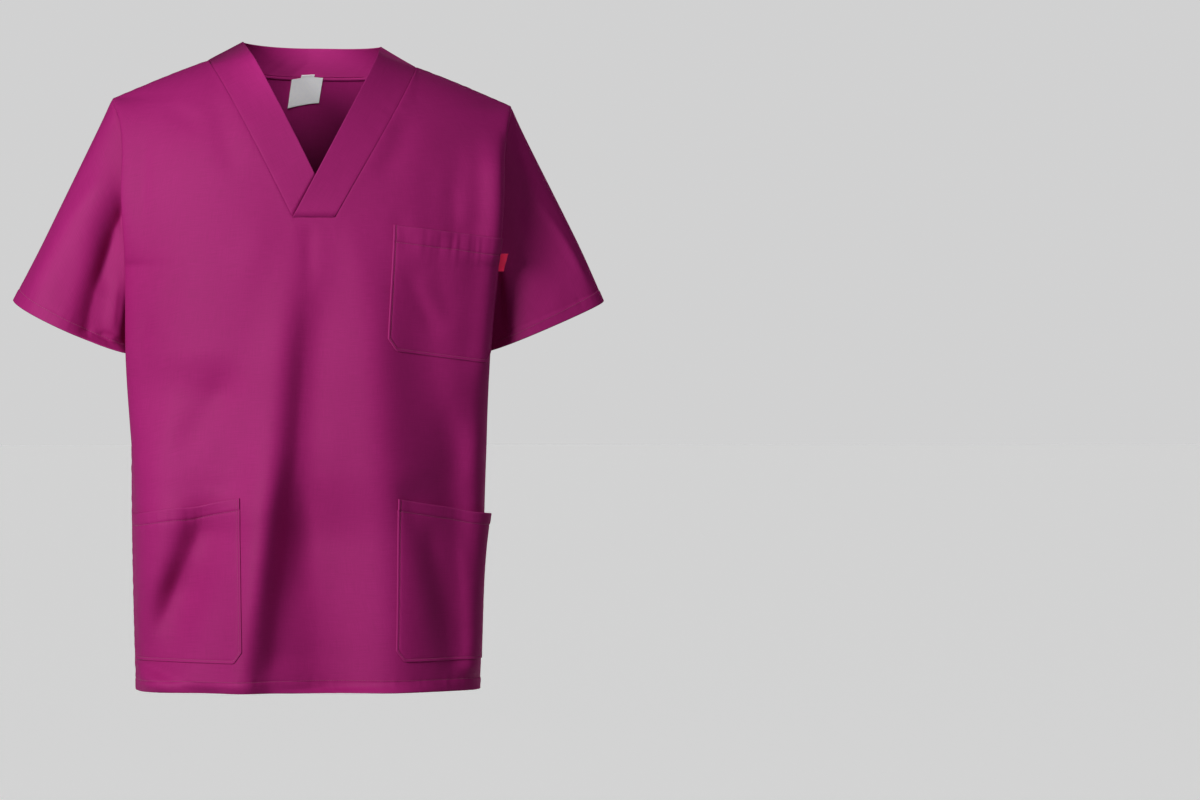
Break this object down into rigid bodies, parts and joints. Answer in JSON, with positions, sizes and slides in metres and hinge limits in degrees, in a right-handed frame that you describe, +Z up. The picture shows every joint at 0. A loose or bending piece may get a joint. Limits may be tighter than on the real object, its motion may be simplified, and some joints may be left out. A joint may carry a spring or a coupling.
{
  "type": "medical scrub top",
  "caption": "Short-sleeved V-neck scrub top in plain woven cotton blend, filled out as if worn, with a chest patch pocket and lower patch pockets",
  "frame": {"origin": "between the wearer's shoulders, level with the foot of the neckband, on the plane of the side seams", "axes": "+Z up towards the neck, -Y is the front, +X is the wearer's left"},
  "size_m": [0.682, 0.2611, 0.7555],
  "materials": {
    "raspberry_cloth": "matt plain-weave cotton and polyester, sewn with thread of the same colour",
    "white_label": "white woven ribbon",
    "red_tab": "red woven ribbon"
  },
  "bodies": {
    "root": {"front_panel": "raspberry_cloth", "back_panel": "raspberry_cloth", "sleeve_right": "raspberry_cloth", "sleeve_left": "raspberry_cloth", "neckband_right": "raspberry_cloth", "neckband_left": "raspberry_cloth", "neckband_back": "raspberry_cloth", "pocket_chest": "raspberry_cloth", "pocket_lower_right": "raspberry_cloth", "pocket_lower_left": "raspberry_cloth", "neck_label": "white_label", "pocket_tab": "red_tab"}
  },
  "joints": []
}
